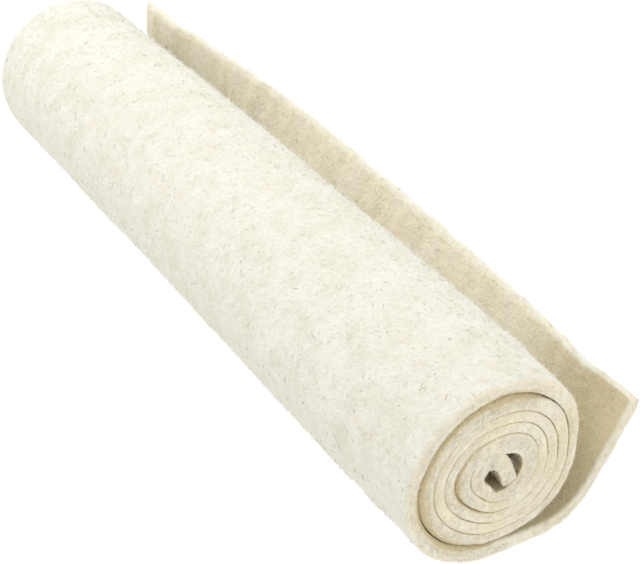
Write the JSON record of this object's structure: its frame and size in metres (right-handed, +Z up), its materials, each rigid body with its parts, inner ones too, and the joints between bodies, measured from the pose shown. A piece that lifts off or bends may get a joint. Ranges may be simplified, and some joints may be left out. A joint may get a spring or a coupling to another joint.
{
  "type": "roll of wool felt",
  "caption": "Roll of thick off-white wool felt on its side, wound as a spiral with its outer end standing open beside it as a curled flap.",
  "frame": {"origin": "middle of the roll's box, on the surface that it rests on", "axes": "+Y along the roll from its near end, +X across it towards the open flap, +Z up"},
  "size_m": [0.079, 0.3, 0.0596],
  "materials": {
    "felt": "matt, slightly hairy pressed wool"
  },
  "bodies": {
    "root": {"felt_roll": "felt"}
  },
  "joints": []
}
